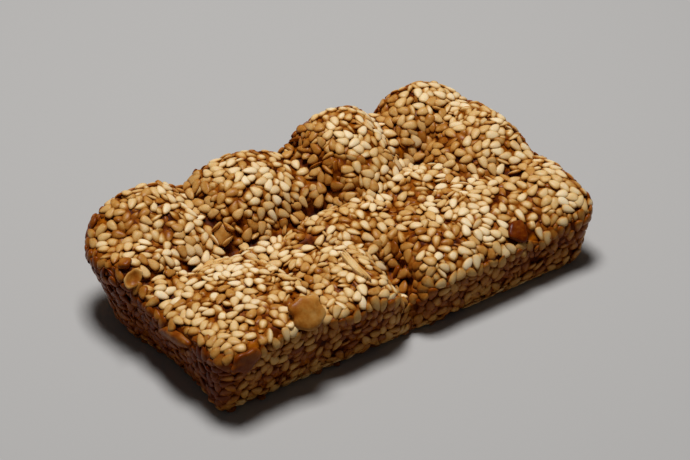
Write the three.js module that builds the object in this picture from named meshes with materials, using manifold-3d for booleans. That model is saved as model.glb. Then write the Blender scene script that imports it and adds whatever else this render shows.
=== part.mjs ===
// Sesame brittle: one slab of toasted sesame seeds set in hard caramel, broken off by hand.
// Millimetres, +Z up, +X along the slab. The origin is on the resting face, under the middle.

import * as THREE from 'three';
import { mergeGeometries, mergeVertices } from 'three/addons/utils/BufferGeometryUtils.js';
import Module from 'manifold-3d';

// Driving dimensions.
const LENGTH = 94;
const WIDTH = 49;
const BODY_HEIGHT = 16;
const MIDDLE = [0.4, 1.33];

// The top edge is rounded over by RIM_ROUND, and the sides tuck in by FOOT_ROUND at the foot.
const RIM_ROUND = 3.2;
const FOOT_ROUND = 1.6;

// Each corner's foot and top stand off the plain rectangle by [x, y], and it is rounded in plan.
const CORNERS = [
  { side: [-1, -1], foot: [0.9, 2.4], top: [2.5, 0.2], round: 5 },
  { side: [1, -1], foot: [0.4, -1.5], top: [4.0, -1.7], round: 5 },
  { side: [1, 1], foot: [-2.0, -2.5], top: [-1.4, -0.6], round: 9 },
  { side: [-1, 1], foot: [0.7, -3.0], top: [-4.2, 6.5], round: 12 },
];

// The left foot is bowed in by LEFT_BOW at BOW_PLACE, less to either side (in half widths).
const LEFT_BOW = 2.8;
const BOW_PLACE = -0.35;
const BOW_REACH = 0.7;

// The top is a row of hand-pressed humps. At its reach in x and y, a hump has sunk by HUMP_DROP.
const HUMP_DROP = 7.5;
const HUMP_BLEND = 0.4;
const LOWEST_TOP = 12.5;
const HUMPS = [
  { name: 'left back', at: [-32.8, 26.4], reach: [17, 15], turn: 10, height: 23.0 },
  { name: 'left', at: [-29.5, 20.0], reach: [14, 14], turn: 0, height: 20.5 },
  { name: 'third', at: [-12.0, 21.7], reach: [18, 16], turn: 0, height: 22.9 },
  { name: 'fourth', at: [13.4, 20.7], reach: [15, 17], turn: 0, height: 24.8 },
  { name: 'tall', at: [34.8, 20.5], reach: [16, 16], turn: 0, height: 23.4 },
  { name: 'right back', at: [42.0, 5.7], reach: [18, 17], turn: 0, height: 21.9 },
  { name: 'right corner', at: [45.0, -13.5], reach: [18, 16], turn: 0, height: 18.3 },
  { name: 'flank', at: [-43.0, 13.0], reach: [16, 18], turn: 0, height: 19.4 },
  { name: 'near', at: [-29.0, -14.0], reach: [30, 34], turn: 0, height: 18.3 },
  { name: 'middle', at: [-8.5, -13.0], reach: [16, 22], turn: 0, height: 17.2 },
  { name: 'front', at: [9.0, -19.0], reach: [9, 9], turn: 0, height: 16.2 },
  { name: 'ridge', at: [2.0, 0.0], reach: [26, 15], turn: 0, height: 17.2 },
  { name: 'broad', at: [24.0, -11.0], reach: [34, 18], turn: 0, height: 17.7 },
  { name: 'saddle', at: [22.0, 3.0], reach: [20, 15], turn: 0, height: 17.4 },
];

// Creases between the humps. They run on down the sides, PINCH times as deep.
const PINCH = 0.6;
const CREASES = [
  { depth: 1.9, width: 2.6, path: [[3.5, 26], [3.4, 15], [3.3, 7]] },
  { depth: 1.9, width: 2.6, path: [[3.3, 7], [-3, 8.5], [-11.5, 7], [-17.6, 7.5]] },
  { depth: 1.3, width: 2.6, path: [[-23, 27], [-22.5, 15], [-22, 9.5], [-17.6, 7.5]] },
  { depth: 1.5, width: 2.4, path: [[-17.6, 7.5], [-23, 6], [-31, 6.7], [-41, 6.8], [-52, 4.5]] },
  { depth: 1.5, width: 2.2, path: [[-19, 1], [-17, -6], [-15.5, -11.5], [-19, -18], [-20, -30]] },
  { depth: 4.2, width: 3.0, path: [[3.4, -14], [2.9, -18], [1.6, -30]] },
  { depth: 1.5, width: 2.6, path: [[25.5, 26], [23.5, 15.6], [23, 7]] },
  { depth: 2.0, width: 2.6, path: [[29.4, 9.5], [24, 7]] },
];

// The caramel lies below the seeds' outer faces, in lumps the size of a seed.
const CARAMEL_INSET = 0.45;
const LUMP_SIZE = 2.5;
const LUMP_RELIEF = 0.7;

// A sesame seed: flat, and narrower at its tip. Its middle is SEED_SINK below the outer surface.
const SEED_LENGTH = 3.2;
const SEED_WIDTH = 2.1;
const SEED_THICKNESS = 1.1;
const SEED_TAPER = 0.3;
const SEED_SINK = 0.4;
const SEED_TILT = 14;
const SEED_VARIETY = 0.1;
const SEED_SIDES = 5;
const SEED_RINGS = 4;

// How many seeds stand proud on each face, over FACE_SHARE of it, spread by these steps.
const FACE_SHARE = 0.86;
const SPREAD_STEP = [0.7548776662, 0.569840291];
const PROUD_SEEDS = { top: 72, front: 20, back: 20, left: 10, right: 10 };

// Flakes of nut and caramel, each on one face at [along, up] from -1 to 1, turned and lifted in degrees.
const FLAKES = [
  { name: 'round', face: 'top', at: [-0.55, -0.9], size: [7.4, 7.4, 1.6], sink: -0.4, turn: 151, lift: -28 },
  { name: 'square', face: 'top', at: [-0.44, 0.315], size: [4.2, 3.6, 1.3], sink: 0.2, turn: 54, lift: -15 },
  { name: 'dark', face: 'front', at: [-0.885, 0.715], size: [7, 4.4, 1.2], sink: 0.4, turn: 12, lift: 0 },
  { name: 'amber', face: 'top', at: [0.57, -0.88], size: [5.2, 4.4, 1.2], sink: 0.3, turn: 45, lift: 0 },
  { name: 'orange', face: 'top', at: [-0.93, 0.29], size: [2.8, 2.6, 1.3], sink: 0.2, turn: 0, lift: 0 },
  { name: 'curved', face: 'top', at: [-0.95, 0.16], size: [4.4, 3.4, 1.3], sink: 0.2, turn: 20, lift: 0 },
  { name: 'ledge', face: 'left', at: [0.365, 0.55], size: [3.2, 11, 1.6], sink: 0.5, turn: 22, lift: 0 },
  { name: 'sliver', face: 'top', at: [-0.17, -0.6], size: [11, 1.6, 1.3], sink: 0.3, turn: 87, lift: 0 },
];
const FLAKE_SIDES = 10;
const FLAKE_BEVEL = 0.88;

const RANDOM_SEED = 20;
const STEP = 0.002;

const wasm = await Module();
wasm.setup();

const toRadians = THREE.MathUtils.degToRad;

// Distance in plan from a point to a path, squared.
function squaredDistance(x, y, path) {
  let nearest = Infinity;
  for (let i = 0; i + 1 < path.length; i += 1) {
    const [ax, ay] = path[i];
    const [bx, by] = path[i + 1];
    const along = ((x - ax) * (bx - ax) + (y - ay) * (by - ay)) / ((bx - ax) ** 2 + (by - ay) ** 2);
    const t = THREE.MathUtils.clamp(along, 0, 1);
    nearest = Math.min(nearest, (x - ax - t * (bx - ax)) ** 2 + (y - ay - t * (by - ay)) ** 2);
  }
  return nearest;
}

// How deep the creases are at a point of the plan.
function creaseDepth(x, y) {
  const depths = CREASES.map((c) => c.depth * Math.exp(-squaredDistance(x, y, c.path) / c.width ** 2));
  return Math.max(...depths);
}

// Height of one hump over a point of the plan.
function humpHeight(hump, x, y) {
  const angle = toRadians(hump.turn);
  const dx = x - hump.at[0];
  const dy = y - hump.at[1];
  const p = (dx * Math.cos(angle) + dy * Math.sin(angle)) / hump.reach[0];
  const q = (dy * Math.cos(angle) - dx * Math.sin(angle)) / hump.reach[1];
  return hump.height - HUMP_DROP * (p * p + q * q);
}

// Height of the top over a point of the plan: the highest hump, blended softly into the next.
function topHeight(x, y) {
  const heights = [LOWEST_TOP, ...HUMPS.map((hump) => humpHeight(hump, x, y))];
  const highest = Math.max(...heights);
  const sum = heights.reduce((total, h) => total + Math.exp((h - highest) / HUMP_BLEND), 0);
  return highest + HUMP_BLEND * Math.log(sum) - creaseDepth(x, y);
}

// Rounds a block's top edge: what stands out past RIM_ROUND, sideways and up, is drawn to an arc.
function roundRim(point) {
  const inner = new THREE.Vector3(
    THREE.MathUtils.clamp(point.x, RIM_ROUND - LENGTH / 2, LENGTH / 2 - RIM_ROUND),
    THREE.MathUtils.clamp(point.y, RIM_ROUND - WIDTH / 2, WIDTH / 2 - RIM_ROUND),
    Math.min(point.z, BODY_HEIGHT - RIM_ROUND),
  );
  const out = Math.max(Math.abs(point.x - inner.x), Math.abs(point.y - inner.y));
  const up = point.z - inner.z;
  const scale = out > 0 && up > 0 ? Math.max(out, up) / Math.hypot(out, up) : 1;
  return inner.lerp(point, scale);
}

// Rounds a block's corner in plan by the given radius.
function roundCorner(point, radius) {
  const ix = THREE.MathUtils.clamp(point.x, radius - LENGTH / 2, LENGTH / 2 - radius);
  const iy = THREE.MathUtils.clamp(point.y, radius - WIDTH / 2, WIDTH / 2 - radius);
  const length = Math.hypot(point.x - ix, point.y - iy);
  if (length > 0) {
    const scale = Math.max(Math.abs(point.x - ix), Math.abs(point.y - iy)) / length;
    point.x = ix + (point.x - ix) * scale;
    point.y = iy + (point.y - iy) * scale;
  }
  return point;
}

// Carries a point of the block [-1..1, -1..1, 0..1] to the seeds' outer surface on the slab.
function place(u, v, w) {
  const corner = CORNERS.find((c) => c.side[0] * u >= 0 && c.side[1] * v >= 0);
  const block = new THREE.Vector3((u * LENGTH) / 2, (v * WIDTH) / 2, w * BODY_HEIGHT);
  const point = roundCorner(roundRim(block), corner.round);
  const along = (2 * point.x) / LENGTH;
  const across = (2 * point.y) / WIDTH;
  const rise = point.z / BODY_HEIGHT;

  let x = 0;
  let y = 0;
  for (const { side, foot, top } of CORNERS) {
    const share = ((1 + side[0] * along) * (1 + side[1] * across)) / 4;
    x += share * ((side[0] * LENGTH) / 2 + foot[0] + (top[0] - foot[0]) * rise);
    y += share * ((side[1] * WIDTH) / 2 + foot[1] + (top[1] - foot[1]) * rise);
  }

  const pinch = creaseDepth(x, y) * PINCH * (0.3 + 0.7 * rise);
  const tuck = FOOT_ROUND * Math.max(1 - point.z / (2 * FOOT_ROUND), 0) ** 2;
  const bow = Math.max(-along, 0) ** 4 * Math.max(1 - ((across - BOW_PLACE) / BOW_REACH) ** 2, 0);
  x += LEFT_BOW * (1 - rise) * bow - Math.sign(along) * along ** 8 * (pinch + tuck);
  y -= Math.sign(across) * across ** 8 * (pinch + tuck);
  return new THREE.Vector3(x - MIDDLE[0], y - MIDDLE[1], rise * topHeight(x, y));
}

// Block coordinates of a point on a face, [along, up] from -1 to 1.
function onFace(face, a, b) {
  const up = (b + 1) / 2;
  const places = {
    top: [a, b, 1],
    front: [a, -1, up],
    back: [-a, 1, up],
    left: [-1, -a, up],
    right: [1, a, up],
  };
  return places[face];
}

// Point and outward normal on a face of the slab.
function surfaceAt(face, a, b) {
  const point = place(...onFace(face, a, b));
  const alongA = place(...onFace(face, a + STEP, b)).sub(place(...onFace(face, a - STEP, b)));
  const alongB = place(...onFace(face, a, b + STEP)).sub(place(...onFace(face, a, b - STEP)));
  return { point, normal: alongA.cross(alongB).normalize() };
}

// A repeatable random source: numbers from 0 to 1.
function randomSource(start) {
  let state = start;
  return () => {
    state = (state * 1664525 + 1013904223) % 4294967296;
    return state / 4294967296;
  };
}
const random = randomSource(RANDOM_SEED);

// A closed geometry as a manifold-3d solid.
function toSolid(geometry) {
  geometry.deleteAttribute('normal');
  geometry.deleteAttribute('uv');
  const welded = mergeVertices(geometry, 1e-5);
  return new wasm.Manifold(new wasm.Mesh({
    numProp: 3,
    vertProperties: new Float32Array(welded.attributes.position.array),
    triVerts: new Uint32Array(welded.index.array),
  }));
}

// The resting face of the block as one flat face: a polygon through the grid points of its rim.
function restingFace(columns, rows) {
  const rim = [];
  for (let i = 0; i < columns; i += 1) rim.push(new THREE.Vector2((2 * i) / columns - 1, -1));
  for (let j = 0; j < rows; j += 1) rim.push(new THREE.Vector2(1, (2 * j) / rows - 1));
  for (let i = columns; i > 0; i -= 1) rim.push(new THREE.Vector2((2 * i) / columns - 1, 1));
  for (let j = rows; j > 0; j -= 1) rim.push(new THREE.Vector2(-1, (2 * j) / rows - 1));
  const outline = rim.map(({ x, y }) => place(x, y, 0));
  const triangles = THREE.ShapeUtils.triangulateShape(outline, []);
  const face = new THREE.BufferGeometry();
  face.setAttribute('position', new THREE.Float32BufferAttribute(rim.flatMap(({ x, y }) => [x, y, 0]), 3));
  face.setIndex(triangles.flatMap(([a, b, c]) => [a, c, b]));
  return face;
}

// A block of seed-sized cells, open below, closed by its resting face.
function cellBlock() {
  const cells = [LENGTH, WIDTH, BODY_HEIGHT].map((size) => Math.round(size / LUMP_SIZE));
  const box = new THREE.BoxGeometry(2, 2, 1, ...cells);
  box.translate(0, 0, 0.5);
  box.deleteAttribute('normal');
  box.deleteAttribute('uv');
  const below = box.groups[box.groups.length - 1];
  box.setIndex([...box.index.array].slice(0, below.start));
  box.clearGroups();
  return mergeVertices(mergeGeometries([box, restingFace(cells[0], cells[1])]), 1e-5);
}

// The caramel body: the block carried to the slab's form, set in and lumpy.
function caramelBody() {
  const block = cellBlock();
  const position = block.attributes.position;
  const spots = [];
  for (let i = 0; i < position.count; i += 1) {
    spots.push(place(position.getX(i), position.getY(i), position.getZ(i)));
  }
  const shaped = block.clone();
  spots.forEach((spot, i) => shaped.attributes.position.setXYZ(i, spot.x, spot.y, spot.z));
  shaped.computeVertexNormals();

  for (let i = 0; i < position.count; i += 1) {
    const onFoot = spots[i].z < 1e-6;
    const normal = new THREE.Vector3().fromBufferAttribute(shaped.attributes.normal, i);
    normal.z = onFoot ? 0 : normal.z;
    const inset = CARAMEL_INSET + LUMP_RELIEF * (random() - 0.5);
    const spot = spots[i].addScaledVector(normal.normalize(), -inset);
    block.attributes.position.setXYZ(i, spot.x, spot.y, spot.z);
  }
  return toSolid(block);
}

// A frame on the slab with its z axis along the normal, turned about it and then tilted.
function frameOn(point, normal, turn, tilt) {
  const stand = new THREE.Quaternion().setFromUnitVectors(new THREE.Vector3(0, 0, 1), normal);
  const spin = new THREE.Quaternion().setFromAxisAngle(new THREE.Vector3(0, 0, 1), toRadians(turn));
  const lean = new THREE.Quaternion().setFromAxisAngle(new THREE.Vector3(1, 0, 0), toRadians(tilt));
  const turned = stand.multiply(spin).multiply(lean);
  return new THREE.Matrix4().compose(point, turned, new THREE.Vector3(1, 1, 1));
}

// One seed lying along x, its tip at +x.
function seedGeometry() {
  const seed = new THREE.SphereGeometry(1, SEED_SIDES, SEED_RINGS);
  seed.rotateZ(Math.PI / 2);
  const position = seed.attributes.position;
  for (let i = 0; i < position.count; i += 1) {
    const along = position.getX(i);
    const narrow = 1 - SEED_TAPER * along;
    position.setXYZ(
      i,
      (along * SEED_LENGTH) / 2,
      (position.getY(i) * narrow * SEED_WIDTH) / 2,
      (position.getZ(i) * narrow * SEED_THICKNESS) / 2,
    );
  }
  return seed;
}

// Seeds spread evenly over a face by a low-discrepancy sequence, turned and tilted at random.
function seedsOn(face, count) {
  const solids = [];
  for (let i = 1; i <= count; i += 1) {
    const a = FACE_SHARE * (2 * ((i * SPREAD_STEP[0]) % 1) - 1);
    const b = FACE_SHARE * (2 * ((i * SPREAD_STEP[1]) % 1) - 1);
    const { point, normal } = surfaceAt(face, a, b);
    const size = 1 + SEED_VARIETY * (2 * random() - 1);
    const tilt = SEED_TILT * (2 * random() - 1);
    const frame = frameOn(point.addScaledVector(normal, -SEED_SINK), normal, 360 * random(), tilt);
    const seed = seedGeometry().scale(size, size, size).applyMatrix4(frame);
    solids.push(toSolid(seed));
  }
  return solids;
}

// A flake: a flat rounded chip half sunk in the caramel.
function flakeOn({ face, at, size, sink, turn, lift }) {
  const { point, normal } = surfaceAt(face, at[0], at[1]);
  const chip = new THREE.CylinderGeometry(0.5 * FLAKE_BEVEL, 0.5, 1, FLAKE_SIDES);
  chip.rotateX(Math.PI / 2);
  chip.scale(...size);
  const frame = frameOn(point.addScaledVector(normal, -sink), normal, turn, lift);
  return toSolid(chip.applyMatrix4(frame));
}

function sesameSlab() {
  const seeds = Object.entries(PROUD_SEEDS).flatMap(([face, count]) => seedsOn(face, count));
  const flakes = FLAKES.map(flakeOn);
  const joined = wasm.Manifold.union([caramelBody(), ...seeds, ...flakes]);
  const { vertProperties, triVerts } = joined.getMesh();
  const geometry = new THREE.BufferGeometry();
  geometry.setAttribute('position', new THREE.BufferAttribute(vertProperties, 3));
  geometry.setIndex(new THREE.BufferAttribute(triVerts, 1));
  geometry.computeVertexNormals();
  const toasted = new THREE.MeshStandardMaterial({ color: 0xc8924f, roughness: 0.45, metalness: 0 });
  const slab = new THREE.Mesh(geometry, toasted);
  slab.name = 'sesame_slab';
  return slab;
}

const brittle = new THREE.Group();
brittle.add(sesameSlab());

export default brittle;
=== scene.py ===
"""Sesame brittle slab: thousands of toasted seeds pressed into hard caramel, on the frame."""

import math

import bpy
import numpy as np
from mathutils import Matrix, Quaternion, Vector
from mathutils.bvhtree import BVHTree


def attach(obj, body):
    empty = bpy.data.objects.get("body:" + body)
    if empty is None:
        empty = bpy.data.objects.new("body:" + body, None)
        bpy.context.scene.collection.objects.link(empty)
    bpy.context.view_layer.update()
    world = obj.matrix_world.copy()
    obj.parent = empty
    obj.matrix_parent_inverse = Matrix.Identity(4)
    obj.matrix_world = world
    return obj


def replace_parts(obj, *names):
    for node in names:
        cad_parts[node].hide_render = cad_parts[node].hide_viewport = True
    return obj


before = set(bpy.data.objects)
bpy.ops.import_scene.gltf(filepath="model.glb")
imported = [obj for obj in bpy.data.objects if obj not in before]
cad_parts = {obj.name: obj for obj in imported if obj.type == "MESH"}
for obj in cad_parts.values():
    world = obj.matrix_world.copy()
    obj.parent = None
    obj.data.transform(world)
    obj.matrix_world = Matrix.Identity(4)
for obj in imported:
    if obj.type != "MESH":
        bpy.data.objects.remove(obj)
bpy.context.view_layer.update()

MM = 0.001
rng = np.random.default_rng(7)

# ---------------------------------------------------------------------------
# The slab's form, in millimetres, as in the part's source.

LENGTH = 94
WIDTH = 49
BODY_HEIGHT = 16
MIDDLE = (0.4, 1.33)

RIM_ROUND = 3.2
FOOT_ROUND = 1.6

# Each corner: its side, how far its foot and its top stand off the rectangle, and its radius.
CORNERS = (
    ((-1, -1), (0.9, 2.4), (2.5, 0.2), 5),
    ((1, -1), (0.4, -1.5), (4.0, -1.7), 5),
    ((1, 1), (-2.0, -2.5), (-1.4, -0.6), 9),
    ((-1, 1), (0.7, -3.0), (-4.2, 6.5), 12),
)

# The left foot is bowed in by LEFT_BOW at BOW_PLACE, less to either side.
LEFT_BOW = 2.8
BOW_PLACE = -0.35
BOW_REACH = 0.7
BOW_FADE = 4

# At its reach in x and y, a hump has sunk by HUMP_DROP. HUMP_BLEND is how softly they meet.
HUMP_DROP = 7.5
HUMP_BLEND = 0.4
LOWEST_TOP = 12.5

# Each hump: its middle, its reach in x and y, its turn in degrees and its height.
HUMPS = (
    ((-32.8, 26.4), (17, 15), 10, 23.0),
    ((-29.5, 20.0), (14, 14), 0, 20.5),
    ((-12.0, 21.7), (18, 16), 0, 22.9),
    ((13.4, 20.7), (15, 17), 0, 24.8),
    ((34.8, 20.5), (16, 16), 0, 23.4),
    ((42.0, 5.7), (18, 17), 0, 21.9),
    ((45.0, -13.5), (18, 16), 0, 18.3),
    ((-43.0, 13.0), (16, 18), 0, 19.4),
    ((-29.0, -14.0), (30, 34), 0, 18.3),
    ((-8.5, -13.0), (16, 22), 0, 17.2),
    ((9.0, -19.0), (9, 9), 0, 16.2),
    ((2.0, 0.0), (26, 15), 0, 17.2),
    ((24.0, -11.0), (34, 18), 0, 17.7),
    ((22.0, 3.0), (20, 15), 0, 17.4),
)

# Creases run on down the sides, PINCH times as deep at the rim and FOOT_PINCH of that at the foot.
# SIDE_FADE keeps them, and the rounded foot, to the sides themselves.
PINCH = 0.6
FOOT_PINCH = 0.3
SIDE_FADE = 8

# Each crease between the humps: its depth, its width and its path.
CREASES = (
    (1.9, 2.6, ((3.5, 26), (3.4, 15), (3.3, 7))),
    (1.9, 2.6, ((3.3, 7), (-3, 8.5), (-11.5, 7), (-17.6, 7.5))),
    (1.3, 2.6, ((-23, 27), (-22.5, 15), (-22, 9.5), (-17.6, 7.5))),
    (1.5, 2.4, ((-17.6, 7.5), (-23, 6), (-31, 6.7), (-41, 6.8), (-52, 4.5))),
    (1.5, 2.2, ((-19, 1), (-17, -6), (-15.5, -11.5), (-19, -18), (-20, -30))),
    (4.2, 3.0, ((3.4, -14), (2.9, -18), (1.6, -30))),
    (1.5, 2.6, ((25.5, 26), (23.5, 15.6), (23, 7))),
    (2.0, 2.6, ((29.4, 9.5), (24, 7))),
)


def crease_depth(x, y):
    """How deep the creases are over points of the plan."""
    deepest = np.zeros_like(x)
    for depth, width, path in CREASES:
        nearest = np.full_like(x, np.inf)
        for (ax, ay), (bx, by) in zip(path, path[1:]):
            ux, uy = bx - ax, by - ay
            t = np.clip(((x - ax) * ux + (y - ay) * uy) / (ux * ux + uy * uy), 0, 1)
            nearest = np.minimum(nearest, (x - ax - t * ux) ** 2 + (y - ay - t * uy) ** 2)
        deepest = np.maximum(deepest, depth * np.exp(-nearest / width**2))
    return deepest


def top_height(x, y):
    """Height of the top: the highest hump, blended softly into the next, less the creases."""
    heights = [np.full_like(x, LOWEST_TOP)]
    for (cx, cy), (reach_x, reach_y), turn, height in HUMPS:
        c, s = math.cos(math.radians(turn)), math.sin(math.radians(turn))
        p = ((x - cx) * c + (y - cy) * s) / reach_x
        q = ((y - cy) * c - (x - cx) * s) / reach_y
        heights.append(height - HUMP_DROP * (p * p + q * q))
    highest = np.max(heights, axis=0)
    blend = sum(np.exp((h - highest) / HUMP_BLEND) for h in heights)
    return highest + HUMP_BLEND * np.log(blend) - crease_depth(x, y)


def round_rim(block):
    """Draws what stands out past RIM_ROUND, sideways and up, to an arc."""
    low = np.array([RIM_ROUND - LENGTH / 2, RIM_ROUND - WIDTH / 2, -np.inf])
    high = np.array([LENGTH / 2, WIDTH / 2, BODY_HEIGHT]) - RIM_ROUND
    inner = np.clip(block, low, high)
    offset = block - inner
    out = np.abs(offset[:, :2]).max(axis=1)
    up = offset[:, 2]
    on_rim = (out > 0) & (up > 0)
    scale = np.where(on_rim, np.maximum(out, up) / np.maximum(np.hypot(out, up), 1e-9), 1)
    return inner + offset * scale[:, None]


def round_corners(points, radius):
    """Rounds the block's corners in plan."""
    limit = np.stack([LENGTH / 2 - radius, WIDTH / 2 - radius], axis=1)
    inner = np.clip(points[:, :2], -limit, limit)
    offset = points[:, :2] - inner
    scale = np.abs(offset).max(axis=1) / np.maximum(np.hypot(*offset.T), 1e-9)
    points[:, :2] = inner + offset * scale[:, None]
    return points


def place(block):
    """Carries points of the block [-1..1, -1..1, 0..1] to the seeds' outer surface on the slab."""
    u, v, w = block.T
    radius = np.zeros(len(block))
    for (side_x, side_y), _, _, corner_radius in CORNERS:
        radius[(side_x * u >= 0) & (side_y * v >= 0)] = corner_radius
    sized = np.stack([u * LENGTH / 2, v * WIDTH / 2, w * BODY_HEIGHT], axis=1)
    point = round_corners(round_rim(sized), radius)
    along, across = 2 * point[:, 0] / LENGTH, 2 * point[:, 1] / WIDTH
    rise = point[:, 2] / BODY_HEIGHT

    x, y = np.zeros(len(block)), np.zeros(len(block))
    for (side_x, side_y), foot, top, _ in CORNERS:
        share = (1 + side_x * along) * (1 + side_y * across) / 4
        x += share * (side_x * LENGTH / 2 + foot[0] + (top[0] - foot[0]) * rise)
        y += share * (side_y * WIDTH / 2 + foot[1] + (top[1] - foot[1]) * rise)

    pinch = crease_depth(x, y) * PINCH * (FOOT_PINCH + (1 - FOOT_PINCH) * rise)
    tuck = FOOT_ROUND * np.maximum(1 - point[:, 2] / (2 * FOOT_ROUND), 0) ** 2
    bow = np.maximum(1 - ((across - BOW_PLACE) / BOW_REACH) ** 2, 0)
    bow = np.maximum(-along, 0) ** BOW_FADE * bow
    x += LEFT_BOW * (1 - rise) * bow - np.sign(along) * along**SIDE_FADE * (pinch + tuck)
    y -= np.sign(across) * across**SIDE_FADE * (pinch + tuck)
    return np.stack([x - MIDDLE[0], y - MIDDLE[1], rise * top_height(x, y)], axis=1)


def on_face(face, a, b):
    """Block coordinates of a point on a face, [along, up] from -1 to 1."""
    up = (b + 1) / 2
    places = {
        "top": (a, b, 1),
        "front": (a, -1, up),
        "back": (-a, 1, up),
        "left": (-1, -a, up),
        "right": (1, a, up),
    }
    return places[face]


# The step, in block coordinates, over which a face's slope is measured.
STEP = 0.002


def surface_at(face, a, b):
    """Point and outward normal on a face of the slab."""
    spots = [(a, b), (a + STEP, b), (a - STEP, b), (a, b + STEP), (a, b - STEP)]
    point, right, left, high, low = place(np.array([on_face(face, *s) for s in spots], float))
    normal = np.cross(right - left, high - low)
    return point, normal / np.linalg.norm(normal)


# The faces lie beside each other on the map, in mm. Each face of the block: its two grid
# directions, its first corner, and its corner on the map.
MAP_GAP = 2
MAP_SIZE = LENGTH + WIDTH + BODY_HEIGHT + 2 * MAP_GAP
BLOCK_FACES = (
    ((1, 0, 0), (0, 1, 0), (0, 0, 1), (0, 0)),
    ((0, 1, 0), (1, 0, 0), (0, 0, 0), (LENGTH + MAP_GAP, 0)),
    ((1, 0, 0), (0, 0, 1), (0, 0, 0), (0, WIDTH + MAP_GAP)),
    ((0, 0, 1), (1, 0, 0), (0, 1, 0), (LENGTH + WIDTH + 2 * MAP_GAP, 0)),
    ((0, 0, 1), (0, 1, 0), (0, 0, 0), (WIDTH + MAP_GAP, WIDTH + BODY_HEIGHT + 2 * MAP_GAP)),
    ((0, 1, 0), (0, 0, 1), (1, 0, 0), (0, WIDTH + BODY_HEIGHT + 2 * MAP_GAP)),
)


def block_mesh(cell):
    """The block's surface as a grid: its points, its quads, and their corners on the map."""
    counts = np.array([round(size / cell) for size in (LENGTH, WIDTH, BODY_HEIGHT)])
    quads, maps = [], []
    ring = ((0, 0), (1, 0), (1, 1), (0, 1))
    for first, second, start, sheet in BLOCK_FACES:
        first, second, start = np.array(first), np.array(second), np.array(start)
        columns, rows = np.arange(counts[first.argmax()]), np.arange(counts[second.argmax()])
        i, j = (a.ravel()[:, None] for a in np.meshgrid(columns, rows, indexing="ij"))
        corners = [start * counts + (i + di) * first + (j + dj) * second for di, dj in ring]
        quads.append(np.stack(corners, axis=1))
        flat = [np.hstack([i + di, j + dj]) * cell + sheet for di, dj in ring]
        maps.append(np.stack(flat, axis=1))
    lattice = np.concatenate(quads)
    keys = (lattice[..., 0] * (counts[1] + 1) + lattice[..., 1]) * (counts[2] + 1) + lattice[..., 2]
    _, first_use, index = np.unique(keys, return_index=True, return_inverse=True)
    points = lattice.reshape(-1, 3)[first_use] / counts
    points[:, :2] = points[:, :2] * 2 - 1
    return points, index.reshape(-1, 4), np.concatenate(maps) / MAP_SIZE


def surface_grid(cell):
    """The outer surface as a grid: its points, its quads, their map corners, and its normals."""
    block, quads, maps = block_mesh(cell)
    points = place(block)
    corner = points[quads]
    facing = np.cross(corner[:, 2] - corner[:, 0], corner[:, 3] - corner[:, 1])
    normals = np.zeros_like(points)
    for k in range(4):
        np.add.at(normals, quads[:, k], facing)
    return points, quads, maps, unit(normals)


# ---------------------------------------------------------------------------
# Small tools for arrays and meshes.


def unit(vectors):
    """Vectors of length one."""
    return vectors / np.maximum(np.linalg.norm(vectors, axis=-1, keepdims=True), 1e-12)


def across_normal(vectors, normals):
    """The part of the vectors that lies in the surface, of length one."""
    return unit(vectors - (vectors * normals).sum(axis=-1, keepdims=True) * normals)


def close_pairs(a, b, reach):
    """Index pairs (i, j) of points a[i] and b[j] that are nearer than reach."""
    low = np.minimum(a.min(axis=0), b.min(axis=0)) - reach
    cells_a = np.floor((a - low) / reach).astype(np.int64)
    cells_b = np.floor((b - low) / reach).astype(np.int64)
    sizes = np.maximum(cells_a.max(axis=0), cells_b.max(axis=0)) + 3
    weights = np.array([sizes[1] * sizes[2], sizes[2], 1])
    keys = cells_b @ weights
    order = np.argsort(keys, kind="stable")
    ranked = keys[order]
    found_i, found_j = [], []
    for shift in np.ndindex(3, 3, 3):
        wanted = (cells_a + np.array(shift) - 1) @ weights
        first = np.searchsorted(ranked, wanted, "left")
        count = np.searchsorted(ranked, wanted, "right") - first
        i = np.repeat(np.arange(len(a)), count)
        start = np.repeat(first - (np.cumsum(count) - count), count)
        j = order[start + np.arange(len(i))]
        near = ((a[i] - b[j]) ** 2).sum(axis=1) < reach * reach
        found_i.append(i[near])
        found_j.append(j[near])
    return np.concatenate(found_i), np.concatenate(found_j)


# Soft noise is a sum of this many waves, whose lengths lie between these times its lumps' size.
WAVES = 14
WAVE_LENGTHS = (0.7, 1.6)


def soft_noise(points, size, seed):
    """Smooth noise from -1 to 1 over points in mm, with lumps about size mm across."""
    waves = np.random.default_rng(seed)
    total = np.zeros(len(points))
    for _ in range(WAVES):
        direction = unit(waves.normal(size=3))
        pitch = size * waves.uniform(*WAVE_LENGTHS)
        total += np.sin(points @ direction * (2 * math.pi / pitch) + waves.uniform(0, 2 * math.pi))
    return np.clip(total / math.sqrt(WAVES), -1, 1)


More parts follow.
